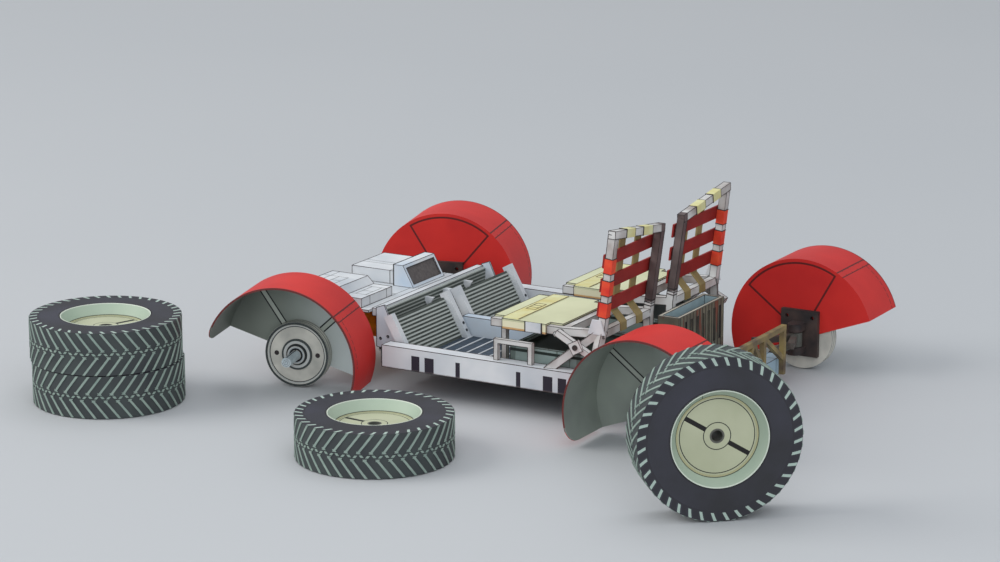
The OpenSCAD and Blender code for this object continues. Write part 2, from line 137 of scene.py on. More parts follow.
class Sheet:
    # a printed sheet of card: its colours and lines are worked out from Object coordinates
    def __init__(self, name):
        self.material = bpy.data.materials.new(name)
        self.material.use_nodes = True
        self.tree = self.material.node_tree
        self.tree.nodes.clear()
        self.place = self.add("ShaderNodeTexCoord", output="Object")

    def add(self, kind, settings=None, inputs=None, output=0):
        node = self.tree.nodes.new(kind)
        for key, value in (settings or {}).items():
            setattr(node, key, value)
        for key, value in (inputs or {}).items():
            if isinstance(value, Wire):
                self.tree.links.new(value.socket, node.inputs[key])
            else:
                node.inputs[key].default_value = value
        return Wire(self, node.outputs[output]) if len(node.outputs) else None

    def maths(self, operation, a, b=0.0):
        return self.add("ShaderNodeMath", {"operation": operation}, {0: a, 1: b})

    def along(self, direction, origin=(0, 0, 0)):
        # how far a point lies from origin along direction, in mm
        scaled = tuple(Vector(direction) / mm)
        far = self.add("ShaderNodeVectorMath", {"operation": "DOT_PRODUCT"},
                       {0: self.place, 1: scaled}, "Value")
        return far - Vector(origin).dot(Vector(direction))

    def fade(self, value, start, end):
        # 0 at start to 1 at end
        return self.add("ShaderNodeMapRange", None,
                        {"Value": value, "From Min": start, "From Max": end})

    def noise(self, scale, detail=3.0):
        return self.add("ShaderNodeTexNoise", None,
                        {"Vector": self.place, "Scale": scale, "Detail": detail}, "Fac")

    def mix(self, factor, under, over):
        return self.add("ShaderNodeMix", {"data_type": "RGBA"},
                        {0: factor, 6: under, 7: over}, 2)

    def wash(self, light, shade, scale=70.0, low=0.35, high=0.75):
        # soft watercolour change between two colours
        patch = self.add("ShaderNodeMapRange", None,
                         {"Value": self.noise(scale), "From Min": low, "From Max": high})
        return self.mix(patch, light, shade)

    def within(self, value, low, high):
        return (value > low) * (value < high)

    def line(self, value, centre, width):
        return abs(value - centre) < width / 2

    def repeat(self, value, pitch):
        # distance from the nearest of evenly spaced lines
        return self.maths("PINGPONG", value, pitch / 2)

    def finish(self, colour, roughness=0.6, fibre=0.25, metallic=0.0, grainScale=2600.0):
        grain = self.noise(grainScale, 4.0)
        bump = self.add("ShaderNodeBump", None,
                        {"Strength": fibre, "Distance": 0.00012, "Height": grain})
        shader = self.add("ShaderNodeBsdfPrincipled", None, {
            "Base Color": colour, "Roughness": grain * 0.14 + (roughness - 0.07),
            "Metallic": metallic, "Specular IOR Level": 0.32, "Normal": bump})
        self.add("ShaderNodeOutputMaterial", None, {"Surface": shader})
        return self.material


def plainCard(name, light, shade, scale=70.0, roughness=0.6):
    sheet = Sheet(name)
    return sheet.finish(sheet.wash(inks[light], inks[shade], scale), roughness)


# ---- small modelling helpers ----
def deselect():
    bpy.ops.object.select_all(action="DESELECT")


def pick(piece):
    deselect()
    piece.select_set(True)
    bpy.context.view_layer.objects.active = piece


def dress(piece, material, body):
    # colour a finished piece and let it ride on its body
    piece.data.materials.clear()
    piece.data.materials.append(material)
    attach(piece, body)
    return piece


def repaint(nodeName, material):
    node = nodes[nodeName]
    node.data.materials.clear()
    node.data.materials.append(material)


def stick(name, start, end, width, height, bevel=0.1, up=(0, 0, 1)):
    # a strip, sleeve or block between two points, with softly rounded edges
    start, end = Vector(start), Vector(end)
    run = (end - start).normalized()
    side = Vector(up).cross(run).normalized()
    top = run.cross(side)
    deselect()
    bpy.ops.mesh.primitive_cube_add(size=1)
    piece = bpy.context.object
    piece.name = name
    turn = Matrix((side * width, top * height, run * (end - start).length)).transposed().to_4x4()
    piece.data.transform(Matrix.Translation((start + end) / 2 * mm) @ Matrix.Scale(mm, 4) @ turn)
    bpy.ops.object.mode_set(mode="EDIT")
    bpy.ops.mesh.select_all(action="SELECT")
    bpy.ops.mesh.bevel(offset=bevel * mm, segments=2, affect="EDGES")
    bpy.ops.mesh.normals_make_consistent(inside=False)
    bpy.ops.object.mode_set(mode="OBJECT")
    return piece


def disc(name, centre, axis, radius, height, bevel=0.15, sides=24, inset=0.0):
    # a bolt head, washer or cap standing on centre, its top pressed in by inset
    deselect()
    axis = Vector(axis).normalized()
    bpy.ops.mesh.primitive_cylinder_add(radius=radius * mm, depth=height * mm, vertices=sides)
    piece = bpy.context.object
    piece.name = name
    bpy.ops.object.mode_set(mode="EDIT")
    bpy.ops.mesh.select_all(action="DESELECT")
    bpy.ops.object.mode_set(mode="OBJECT")
    for face in piece.data.polygons:
        face.select = face.normal.z > 0.9
    bpy.ops.object.mode_set(mode="EDIT")
    if inset:
        bpy.ops.mesh.inset(thickness=radius * 0.45 * mm, depth=-inset * mm)
    else:
        bpy.ops.mesh.bevel(offset=bevel * mm, segments=2, affect="EDGES")
    bpy.ops.object.mode_set(mode="OBJECT")
    turn = Vector((0, 0, 1)).rotation_difference(axis).to_matrix().to_4x4()
    middle = (Vector(centre) + axis * height / 2) * mm
    piece.data.transform(Matrix.Translation(middle) @ turn)
    return piece


def joinAs(name, parts):
    pick(parts[0])
    for part in parts:
        part.select_set(True)
    if len(parts) > 1:
        bpy.ops.object.join()
    parts[0].name = name
    return parts[0]


def mirrored(point, side):
    return Vector((point[0], point[1] * side, point[2]))


sides = {"left": 1, "right": -1}


# ---- wheel units: fenders, hubs, knuckles ----
unitSizes = {
    "arcHeight": 12.4, "axleHeight": 11.4, "wallOut": 5.2, "card": 0.6,
    "fenderRadius": 26.9, "fenderWidth": 23.3, "spokeWidth": 1.9, "lineWidth": 0.7,
    "spokes": {"front_left": (56, 137), "front_right": (58, 130),
               "rear_left": (37, 119), "rear_right": (37, 119)},
    "boltRadius": 7.4, "drumRadius": 11.4, "drumWidth": 4.2,
    # where the painted light and painted shade on the hollow start and end, ahead of the axle
    "paintedLightSpan": (6.0, -22.0), "paintedShadeSpan": (-6.0, 18.0),
}


def unitFrame(unit):
    # steering pin on the floor, the axle's outward direction, and forward square to it
    pin = Vector(joints["steer_" + unit]["pos_m"]) / mm
    outward = Vector(mounts["stub_axle_" + unit]["axis"])
    forward = Vector((outward.y, -outward.x, 0)) * (1 if "left" in unit else -1)
    return Vector((pin.x, pin.y, 0)), outward, forward


def fenderCard(unit):
    size = unitSizes
    pin, outward, forward = unitFrame(unit)
    sheet = Sheet("fenderCard_" + unit)
    fore = sheet.along(forward, pin)
    out = sheet.along(outward, pin)
    high = sheet.along((0, 0, 1), (0, 0, size["arcHeight"]))
    radius = sheet.maths("SQRT", fore * fore + high * high)
    angle = sheet.maths("ARCTAN2", high, fore)
    strip = radius > size["fenderRadius"] - size["card"] * 0.35
    wallFace = out < size["wallOut"] + size["card"] * 0.4
    red = sheet.wash(inks["red"], inks["redDeep"], 42)
    grey = sheet.wash(inks["inside"], inks["insideDark"], 34, 0.3, 0.8)
    # painted light: the hollow turns pale towards the back; on the front units painted shade
    # darkens it towards the front
    paintedLightShare = sheet.fade(fore, *size["paintedLightSpan"])
    paintedShadeShare = sheet.fade(fore, *size["paintedShadeSpan"])
    grey = sheet.mix(paintedLightShare * 0.8, grey, tone(232, 238, 238))
    if "front" in unit:
        grey = sheet.mix(paintedShadeShare * 0.6, grey, tone(72, 74, 66))
    deep = tone(92, 26, 26)
    first, second = (math.radians(a) for a in size["spokes"][unit])
    # double spokes with a light core on the hollow side, single ones on the red side
    spokes = []
    for spoke in (first, second):
        square = abs(fore * -math.sin(spoke) + high * math.cos(spoke))
        ahead = fore * math.cos(spoke) + high * math.sin(spoke) > 0
        spokes.append((square, ahead))
    dark = lightCore = single = None
    for square, ahead in spokes:
        pair = sheet.line(square, size["spokeWidth"] / 2, 0.5) * ahead
        core = (square < size["spokeWidth"] / 2 - 0.25) * ahead
        one = (square < size["lineWidth"] / 2) * ahead
        dark = pair if dark is None else dark | pair
        lightCore = core if lightCore is None else lightCore | core
        single = one if single is None else single | one
    between = sheet.within(angle, first, second)
    border = sheet.line(radius, size["fenderRadius"] - 1.5, size["lineWidth"]) * between
    # cross seam and dotted edge on the strip
    arc = (angle - second) * size["fenderRadius"]
    seam = sheet.line(arc, 0, 0.55) | sheet.line(arc, 2.6, 0.4)
    edgeOut = out - (size["wallOut"] + size["fenderWidth"])
    dots = sheet.line(edgeOut, -3.2, 0.4) * (sheet.repeat(arc, 2.4) > 0.35) * (arc > 2.6)
    ticks = sheet.within(arc, 0.2, 2.4) * (sheet.repeat(out, 4.6) < 0.2) * (abs(arc - 1.3) > 0.7)
    lip = edgeOut > -0.35
    greyPaint = sheet.mix(dark * wallFaceOut(out, size), grey, inks["line"])
    greyPaint = sheet.mix(lightCore * wallFaceOut(out, size), greyPaint, tone(176, 182, 172))
    redWall = sheet.mix((single * (radius < size["fenderRadius"] - 1.2)) | border, red, deep)
    redStrip = sheet.mix((seam | dots | ticks | lip) * strip, red, deep)
    colour = sheet.mix(strip, greyPaint, redStrip)
    colour = sheet.mix(wallFace * (radius < size["fenderRadius"] - 0.1), colour, redWall)
    colour = sheet.mix(edgeOut > -0.05, colour, tone(104, 44, 42))
    return sheet.finish(colour, 0.55)


def wallFaceOut(out, size):
    # the wall's hollow side, so that spokes aren't drawn under the strip
    return out < size["wallOut"] + size["card"] + 0.25


def hubCard(unit):
    size = unitSizes
    pin, outward, forward = unitFrame(unit)
    sheet = Sheet("hubCard_" + unit)
    fore = sheet.along(forward, pin)
    out = sheet.along(outward, pin)
    high = sheet.along((0, 0, 1), (0, 0, size["axleHeight"]))
    radius = sheet.maths("SQRT", fore * fore + high * high)
    colour = sheet.wash(inks["drum"], tone(150, 150, 144), 90)
    rings = [(10.95, 0.8, (60, 66, 66)), (10.15, 0.45, (188, 190, 186)), (9.8, 0.3, (44, 46, 48)),
             (5.1, 0.7, (66, 72, 72)), (4.3, 0.8, (190, 192, 190)), (3.45, 0.7, (48, 52, 54)),
             (2.7, 0.5, (170, 176, 178)), (2.1, 0.7, (30, 32, 36))]
    front = out > size["wallOut"] + size["card"] + size["drumWidth"] - 0.8
    for centre, width, shade in rings:
        colour = sheet.mix(sheet.line(radius, centre, width) * front, colour, tone(*shade))
    for way in (-1, 1):
        across = fore - way * size["boltRadius"]
        spot = sheet.maths("SQRT", across * across + high * high)
        colour = sheet.mix((spot < 0.85) * front, colour, tone(52, 44, 46))
    stub = (radius < 1.85) * (out > size["wallOut"] + size["card"] + size["drumWidth"] + 0.9)
    roll = sheet.wash(tone(196, 206, 210), tone(150, 162, 168), 240)
    colour = sheet.mix(stub, colour, roll)
    rim = (radius > size["drumRadius"] - 0.12)
    colour = sheet.mix(rim * (sheet.repeat(out, 1.6) < 0.16), colour, tone(70, 74, 74))
    return sheet.finish(colour, 0.5)


def rolledStub(unit):
    # the loose edge of the paper rolled into the stub axle, and its spiral end
    size = unitSizes
    pin, outward, forward = unitFrame(unit)
    foot = pin + outward * (size["wallOut"] + size["card"] + size["drumWidth"] + 1.0)
    foot.z = size["axleHeight"]
    tip = Vector(mounts["stub_axle_" + unit]["pos_m"]) / mm
    tip.z = size["axleHeight"]
    over = Vector((0, 0, 1.7))
    parts = [stick("edge", foot + over, tip + outward * 4.8 + over, 0.3, 0.22, 0.05)]
    end = tip + outward * 5.05
    for turnStep in range(14):
        a0, a1 = turnStep * 0.9, (turnStep + 1) * 0.9
        r0, r1 = 0.35 + turnStep * 0.085, 0.35 + (turnStep + 1) * 0.085
        p0 = end + forward * r0 * math.cos(a0) + Vector((0, 0, r0 * math.sin(a0)))
        p1 = end + forward * r1 * math.cos(a1) + Vector((0, 0, r1 * math.sin(a1)))
        parts.append(stick("turn", p0, p1, 0.12, 0.12, 0.02, up=outward))
    return joinAs("rolled_stub_" + unit, parts)


def makeUnits():
    knuckleCard = plainCard("knuckleCard", "brown", "line", 160)
    inkCard = plainCard("stubInk", "line", "tyreDark", 300)
    for unit in unitSizes["spokes"]:
        repaint("fender_" + unit, fenderCard(unit))
        repaint("hub_" + unit, hubCard(unit))
        repaint("knuckle_" + unit, knuckleCard)
        dress(rolledStub(unit), inkCard, "unit_" + unit)
    print("wheel units done")


# ---- wheels ----
wheelSizes = {
    "radius": 25.5, "width": 14.5, "rimRadius": 15.5, "discRadius": 12.2, "bars": 40,
    "barWidth": 0.95, "barSlant": 39, "barHeight": 0.22, "past": 0.9, "squares": (0.1, 1.25),
    "hand": {"flat": 1, "lower": 1, "upper": -1, "upright": -1},
    # direction that the two black bars of each disc run in
    "spokeAim": {"flat": (0.996, -0.085, 0), "lower": (0.7, 0.71, 0),
                 "upper": (0.35, 0.94, 0), "upright": (-0.653, -0.554, -0.517)},
}


def wheelFrame(wheel):
    joint = joints["spin_" + wheel]
    return Vector(joint["pos_m"]) / mm, Vector(joint["axis"]), Vector(wheelSizes["spokeAim"][wheel])


def wheelPolar(sheet, wheel):
    centre, axis, aim = wheelFrame(wheel)
    cross = axis.cross(aim).normalized()
    u = sheet.along(aim.normalized(), centre)
    v = sheet.along(cross, centre)
    return u, v, sheet.along(axis, centre), sheet.maths("SQRT", u * u + v * v)


def tyreCard(wheel):
    size = wheelSizes
    sheet = Sheet("tyreCard_" + wheel)
    u, v, depth, radius = wheelPolar(sheet, wheel)
    hand = size["hand"][wheel]
    angle = sheet.maths("ARCTAN2", v, u)
    face = abs(depth) > size["width"] / 2 - 0.05
    side = sheet.wash(inks["tyre"], tone(60, 60, 70), 60)
    tread = sheet.wash(tone(66, 72, 72), tone(54, 57, 60), 90)
    pitch = 2 * math.pi * 24 / size["bars"]
    slanted = angle * 24 + (radius - 24) * (0.45 * hand)
    toothed = sheet.repeat(slanted + 200 * pitch, pitch)
    outer = radius > 22.6
    side = sheet.mix(outer * (toothed > pitch * 0.27), side, inks["tyreDark"])
    side = sheet.mix(sheet.line(radius, 22.5, 0.5), side, inks["tyreDark"])
    tick = sheet.within(radius, 22.9, 25.4) * (toothed < 0.48)
    side = sheet.mix(tick, side, tone(168, 186, 176))
    side = sheet.mix(sheet.line(radius, size["rimRadius"] + 0.2, 0.5), side, inks["tyreDark"])
    colour = sheet.mix(face, tread, side)
    return sheet.finish(colour, 0.62, 0.3)


def rimCard(wheel):
    size = wheelSizes
    sheet = Sheet("rimCard_" + wheel)
    u, v, _, radius = wheelPolar(sheet, wheel)
    colour = sheet.wash(inks["rimMint"], tone(160, 178, 160), 60)
    disc = radius < size["discRadius"] + 0.55
    face = sheet.wash(inks["disc"], tone(170, 173, 144), 55)
    face = sheet.mix(radius > size["discRadius"] + 0.02, face, tone(176, 172, 134))
    circles = sheet.line(radius, 11.6, 0.28) | sheet.line(radius, 4.2, 0.28)
    face = sheet.mix(circles, face, inks["line"])
    bars = sheet.within(radius, 4.2, 11.5) * (abs(v) < 0.72)
    face = sheet.mix(bars, face, tone(28, 26, 26))
    face = sheet.mix(sheet.within(radius, 0, 2.3), face, tone(90, 90, 84))
    colour = sheet.mix(disc, colour, face)
    seam = (radius > 12.9) * (abs(u * 0.6 + v * 0.8) < 0.14) * (u * 0.8 - v * 0.6 < 0)
    seam = seam | sheet.line(radius, size["discRadius"] + 0.62, 0.22)
    colour = sheet.mix(seam, colour, tone(84, 90, 78))
    lip = radius > size["rimRadius"] - 0.62
    colour = sheet.mix(lip, colour, tone(206, 214, 200))
    return sheet.finish(colour, 0.55)


def treadStrip(start, end):
    # one slanted bar of the tread on the flat wheel's outside, between two heights
    size = wheelSizes
    centre = wheelFrame("flat")[0]
    slant = math.tan(math.radians(size["barSlant"]))
    deselect()
    bpy.ops.mesh.primitive_grid_add(x_subdivisions=2, y_subdivisions=7, size=1)
    strip = bpy.context.object
    low, high = Vector((0, 0, start)), Vector((0, (end - start) * slant, end))
    run = high - low
    offset = Vector((0, start * slant, 0)) if start else Vector((0, 0, 0))
    turn = Matrix((Vector((0, size["barWidth"], 0)), run, Vector((1, 0, 0)))).transposed().to_4x4()
    middle = centre + Vector((size["radius"] + 1, 0, 0)) + offset + (low + high) / 2
    strip.data.transform(Matrix.Translation(middle * mm) @ Matrix.Scale(mm, 4) @ turn)
    return strip


def treadHalf(name, flip):
    size = wheelSizes
    half = size["width"] / 2
    parts = []
    spans = [(half - 0.1, size["past"])] + [(-s + 0.4, -s - 0.35) for s in size["squares"]]
    for top, bottom in spans:
        strip = treadStrip(top, bottom)
        parts.append(strip)
    bars = joinAs(name, parts)
    centre = wheelFrame("flat")[0]
    if flip:
        # the other half of the chevron: upside down, and half a pitch further on
        there, back = Matrix.Translation(centre * mm), Matrix.Translation(-centre * mm)
        mirror = there @ Matrix.Scale(-1, 4, (0, 0, 1)) @ back
        shift = Matrix.Rotation(math.pi / size["bars"], 4, "Z")
        turn = there @ shift @ back
        bars.data.transform(turn @ mirror)
    wrap = bars.modifiers.new("wrap", "SHRINKWRAP")
    wrap.target = nodes["tyre_flat"]
    wrap.offset = 0.02 * mm
    bpy.ops.object.modifier_apply(modifier="wrap")
    return bars


def makeTread():
    size = wheelSizes
    centre = wheelFrame("flat")[0]
    master = joinAs("tread_flat", [treadHalf("upper", False), treadHalf("lower", True)])
    pick(master)
    bpy.ops.object.mode_set(mode="EDIT")
    bpy.ops.mesh.select_all(action="SELECT")
    around = 2 * math.pi * (1 - 1 / size["bars"])
    bpy.ops.mesh.spin(steps=size["bars"] - 1, angle=around, dupli=True,
                      center=tuple(centre * mm), axis=(0, 0, 1))
    bpy.ops.object.mode_set(mode="OBJECT")
    # turn every strip's face away from the wheel's axis before it gets its thickness
    for face in master.data.polygons:
        away = face.center - centre * mm
        if face.normal.x * away.x + face.normal.y * away.y < 0:
            face.flip()
    solid = master.modifiers.new("thickness", "SOLIDIFY")
    solid.thickness = size["barHeight"] * mm
    solid.offset = 1
    bpy.ops.object.modifier_apply(modifier="thickness")
    sheet = Sheet("treadBarCard")
    barCard = sheet.finish(sheet.wash(inks["treadBar"], tone(128, 146, 138), 260), 0.6)
    back = Matrix.Translation(-centre * mm)
    for wheel, hand in size["hand"].items():
        bars = master
        if wheel != "flat":
            place, axis, _ = wheelFrame(wheel)
            bars = master.copy()
            bars.data = master.data.copy()
            bars.name = "tread_" + wheel
            bpy.context.collection.objects.link(bars)
            turn = Vector((0, 0, 1)).rotation_difference(axis).to_matrix().to_4x4()
            flip = Matrix.Scale(hand, 4, (1, 0, 0))
            bars.data.transform(Matrix.Translation(place * mm) @ turn @ flip @ back)
            if hand < 0:
                bars.data.flip_normals()
        dress(bars, barCard, "wheel_" + wheel)
        repaint("tyre_" + wheel, tyreCard(wheel))
        repaint("rim_" + wheel, rimCard(wheel))
    print("wheels done")


# ---- printed ink along every fold ----
inkSizes = {"width": 0.26, "foldAngle": 40}


def inkFolds(nodeName, material, body="rover", width=None):
    # a hair line of ink along each sharp fold of a card piece
    size = inkSizes
    deselect()
    lines = nodes[nodeName].copy()
    lines.data = nodes[nodeName].data.copy()
    lines.parent = None
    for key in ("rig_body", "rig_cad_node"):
        if key in lines:
            del lines[key]
    lines.name = "ink_" + nodeName
    bpy.context.collection.objects.link(lines)
    pick(lines)
    bpy.ops.object.mode_set(mode="EDIT")
    bpy.ops.mesh.select_mode(type="EDGE")
    bpy.ops.mesh.select_all(action="SELECT")
    bpy.ops.mesh.remove_doubles(threshold=0.002 * mm)
    bpy.ops.mesh.dissolve_limited(angle_limit=math.radians(1))
    bpy.ops.mesh.select_all(action="DESELECT")
    bpy.ops.mesh.edges_select_sharp(sharpness=math.radians(size["foldAngle"]))
    bpy.ops.mesh.mark_sharp()
    bpy.ops.mesh.select_all(action="SELECT")
    bpy.ops.mesh.delete(type="ONLY_FACE")
    bpy.ops.mesh.select_all(action="DESELECT")
    bpy.ops.object.mode_set(mode="OBJECT")
    for edge in lines.data.edges:
        edge.select = not edge.use_edge_sharp
    bpy.ops.object.mode_set(mode="EDIT")
    bpy.ops.mesh.delete(type="EDGE")
    bpy.ops.object.mode_set(mode="OBJECT")
    bpy.ops.object.convert(target="CURVE")
    lines = bpy.context.object
    lines.data.bevel_depth = (width or size["width"]) / 2 * mm
    lines.data.bevel_resolution = 0
    lines.data.use_fill_caps = True
    bpy.ops.object.convert(target="MESH")
    lines = bpy.context.object
    lines.name = "ink_" + nodeName
    return dress(lines, material, body)


# ---- chassis ----
chassisSizes = {
    "windows": ((10.8, 12.5), (21.0, 24.6), (26.6, 29.8)), "windowTop": 15.0,
    "beamOut": 48.9, "slatPitch": 4.6, "slatWidth": 0.55, "floorTop": 10.5, "beamIn": 43.4,
    "slatFrom": -4.0, "slatTo": 34.0, "spine": 2.0,
}


def beamCard(name):
    size = chassisSizes
    sheet = Sheet(name)
    x, y, z = (sheet.along(axis) for axis in ((1, 0, 0), (0, 1, 0), (0, 0, 1)))
    colour = sheet.wash(inks["white"], inks["whiteShade"], 50)
    dark = None
    for near, far in size["windows"]:
        window = sheet.within(abs(x), near, far)
        dark = window if dark is None else dark | window
    dark = dark * (z < size["windowTop"]) * (abs(y) > size["beamOut"] - 0.03)
    colour = sheet.mix(dark, colour, tone(42, 37, 48))
    # darker mottling on the beam's lower part, below 10.1 mm
    lowMottle = sheet.noise(420) * (z < 10.1)
    colour = sheet.mix(lowMottle * 0.5, colour, tone(120, 112, 108))
    return sheet.finish(colour, 0.58)


def floorCard():
    sheet = Sheet("floorCard")
    y = sheet.along((0, 1, 0))
    colour = sheet.wash(inks["slate"], tone(46, 56, 66), 90)
    colour = sheet.mix(sheet.repeat(y + 300, 3.1) < 0.17, colour, tone(28, 34, 42))
    return sheet.finish(colour, 0.55)


def makeFloorSlats():
    size = chassisSizes
    parts = []
    x = size["slatFrom"]
    while x < size["slatTo"]:
        for side in sides.values():
            a = Vector((x, side * (size["spine"] + 0.2), size["floorTop"] + 0.12))
            b = Vector((x, side * (size["beamIn"] - 0.2), size["floorTop"] + 0.12))
            parts.append(stick("slat", a, b, size["slatWidth"], 0.3, 0.06))
        x += size["slatPitch"]
    slats = joinAs("floor_slats", parts)
    dress(slats, plainCard("slatCard", "white", "whiteShade", 120), "rover")


restSizes = {"lowX": 35.5, "topX": 43.0, "lowZ": 10.5, "topZ": 24.0,
             "inner": 5.0, "outer": 39.8}


def restCheek(sheet):
    y = abs(sheet.along((0, 1, 0)))
    return (y < restSizes["inner"] + 0.05) | (y > restSizes["outer"] - 0.05)


def makeFootRests():
    size = restSizes
    lift = Vector((size["topX"] - size["lowX"], 0, size["topZ"] - size["lowZ"])).normalized()
    card = Sheet("restCard")
    back = card.along((lift.z, 0, -lift.x), (size["lowX"], 0, size["lowZ"]))
    base = card.wash(inks["olive"], tone(62, 68, 64), 80)
    base = card.mix(back < -0.12, base, inks["rib"])
    white = card.wash(inks["white"], inks["whiteShade"], 70)
    restMaterial = card.finish(card.mix(restCheek(card), base, white), 0.55)
    bolt = plainCard("boltCard", "line", "slate", 300, 0.45)
    for name, side in sides.items():
        repaint("foot_rest_" + name, restMaterial)
        parts = []
        for edge in (size["inner"] - 1.2, size["outer"] + 1.2):
            for height in (1.6, 4.4):
                foot = Vector((size["lowX"], edge, size["lowZ"])) + lift * height
                foot -= Vector((lift.z, 0, -lift.x)) * 2.2
                parts.append(disc("bolt", mirrored(foot, side), (-lift.z, 0, lift.x), 0.5, 0.25,
                                  inset=0.1))
        dress(joinAs("rest_bolts_" + name, parts), bolt, "rover")
    print("foot rests done")


frontSizes = {"lineWidth": 0.3, "braceX": 48.2, "braceZ": 22.6, "braceRadius": 2.6,
              "braces": (-21, 6), "bracketX": 48.6, "bracket": (-8.2, -5.8)}


def linedCard(name, light, shade, lines, extra=None):
    # white card with ink lines drawn on its upper faces: (across which axis, where, from, to)
    sheet = Sheet(name)
    x, y = sheet.along((1, 0, 0)), sheet.along((0, 1, 0))
    colour = sheet.wash(inks[light], inks[shade], 80)
    ink = None
    for axis, where, low, high in lines:
        across, other = (x, y) if axis == "x" else (y, x)
        mark = sheet.line(across, where, frontSizes["lineWidth"]) * sheet.within(other, low, high)
        ink = mark if ink is None else ink | mark
    colour = sheet.mix(ink, colour, tone(70, 72, 72))
    if extra:
        colour = extra(sheet, colour)
    return sheet.finish(colour, 0.56)


def screenFace(sheet, colour):
    # grey-brown panel sunk in the console's face, with a light border
    y, z = sheet.along((0, 1, 0)), sheet.along((0, 0, 1))
    lean = Vector((4.3, 0, 7.7)).normalized()
    depth = sheet.along((lean.z, 0, -lean.x), (55.7, 0, 25.5))
    panel = sheet.within(y, -15.8, 3.1) * sheet.within(depth, 0.2, 0.5)
    panel = panel * sheet.within(z, 26.3, 32.4)
    speck = sheet.wash(tone(96, 90, 88), tone(74, 68, 68), 900)
    return sheet.mix(panel, colour, speck)


def makeFront():
    size = frontSizes
    repaint("front_platform", linedCard("platformCard", "white", "whiteShade",
            [("x", 57, -21, 38), ("y", 3.2, 57, 84), ("y", 14, 57, 84)]))
    repaint("high_front_box", linedCard("highBoxCard", "white", "whiteShade",
            [("x", 79, 16, 38), ("x", 75.4, 22, 32), ("x", 71.6, 22, 32), ("y", 22, 71.6, 82),
             ("y", 27, 71.6, 75.4), ("y", 32, 71.6, 82)]))
    repaint("low_front_box", linedCard("lowBoxCard", "white", "whiteShade",
            [("y", 20, 57, 65), ("y", 26, 59, 63), ("y", 31, 57, 65), ("x", 59, 20, 31),
             ("x", 63, 20, 31)]))
    repaint("equipment_box", linedCard("equipmentCard", "white", "whiteShade",
            [("y", -5.2, 64, 83), ("y", -7.8, 64, 83), ("x", 66.6, -20, 3)]))
    repaint("display_console", linedCard("consoleCard", "white", "paleBlue",
            [("x", 63.8, -17, 4.3)], screenFace))
    repaint("front_crossbeam", plainCard("crossbeamCard", "white", "whiteShade"))
    repaint("bulkhead_brackets", plainCard("bracketCard", "white", "paleBlue"))
    foil = Sheet("foilCard")
    crumple = foil.noise(260, 6)
    gold = foil.mix(foil.fade(crumple, 0.42, 0.6), inks["foil"], inks["foilDark"])
    repaint("front_body", foil.finish(gold, 0.35, 0.8, 0.25, 500))
    bulk = Sheet("bulkheadCard")
    z = bulk.along((0, 0, 1))
    colour = bulk.wash(inks["olive"], tone(70, 78, 76), 80)
    colour = bulk.mix(bulk.repeat(z, 1.25) < 0.24, colour, inks["rib"])
    repaint("front_bulkhead", bulk.finish(colour, 0.56))
    # two triangular braces and a plain bracket between crossbeam and bulkhead
    brace = plainCard("braceCard", "white", "whiteShade")
    parts = []
    for y in size["braces"]:
        parts.append(disc("brace", (size["braceX"], y, size["braceZ"]), (0, 1, 0),
                          size["braceRadius"], 0.7, 0.06, sides=3))
    ends = [(size["bracketX"], y, size["braceZ"]) for y in size["bracket"]]
    parts.append(stick("bracket", *ends, 3.0, 2.6, 0.1))
    dress(joinAs("bulkhead_braces", parts), brace, "rover")
    print("front done")


# ---- seats ----
seatSizes = {
    "panTop": 31.2, "inner": 7.2, "width": 36.0, "tube": 2.6,
    "backX": -39.3, "outerTop": 65.5, "innerTop": 61.0, "lean": 4.0, "card": 0.6,
    "bands": (5.2, 13.4, 21.6), "bandWidth": 4.6,
    # where the coloured wraps sit, as shares of a post's height
    "wraps": ((0.17, 0.32), (0.39, 0.54), (0.61, 0.76)),
    "strap": (-8.3, -2.4), "boltX": -33, "clamps": (-11.4, -17.6), "sleeveShort": 0.2,
    "gusset": (6.4, 0.6, 5.0), "gussetTop": 0.5,
}


def postPoint(share, inner, side, lift=0.0):
    # a point on the middle of a seat back's post, from its foot to its top
    size = seatSizes
    half = size["tube"] / 2
    y = size["inner"] + half if inner else size["inner"] + size["width"] - half
    top = size["innerTop"] if inner else size["outerTop"]
    x = size["backX"] - size["lean"] * share
    z = size["panTop"] - 1 + (top - half - size["panTop"] + 1) * share
    return mirrored((x, y, z + lift), side)


def webbingCard():
    size = seatSizes
    sheet = Sheet("webbingCard")
    lean = math.atan2(size["lean"], size["outerTop"] - size["panTop"])
    foot = (size["backX"] + size["tube"] / 2 + 0.2, 0, size["panTop"])
    depth = sheet.along((math.cos(lean), 0, math.sin(lean)), foot)
    rise = sheet.along((-math.sin(lean), 0, math.cos(lean)), foot)
    band = None
    for low in size["bands"]:
        one = sheet.within(rise, low - 0.02, low + size["bandWidth"] + 0.02)
        band = one if band is None else band | one
    band = band * (depth < size["card"] + 0.02)
    red = sheet.wash(inks["webbingRed"], tone(128, 30, 28), 120)
    tan = sheet.wash(inks["webbingTan"], tone(124, 108, 70), 160)
    return sheet.finish(sheet.mix(band, tan, red), 0.62)


def panCard():
    size = seatSizes
    sheet = Sheet("panCard")
    z = sheet.along((0, 0, 1))
    colour = sheet.wash(tone(210, 212, 176), tone(192, 194, 158), 40)
    skirt = z < size["panTop"] - 0.7
    colour = sheet.mix(skirt, colour, tone(222, 218, 186))
    colour = sheet.mix(z < size["panTop"] - size["tube"] - 0.2, colour, tone(196, 156, 106))
    return sheet.finish(colour, 0.6)


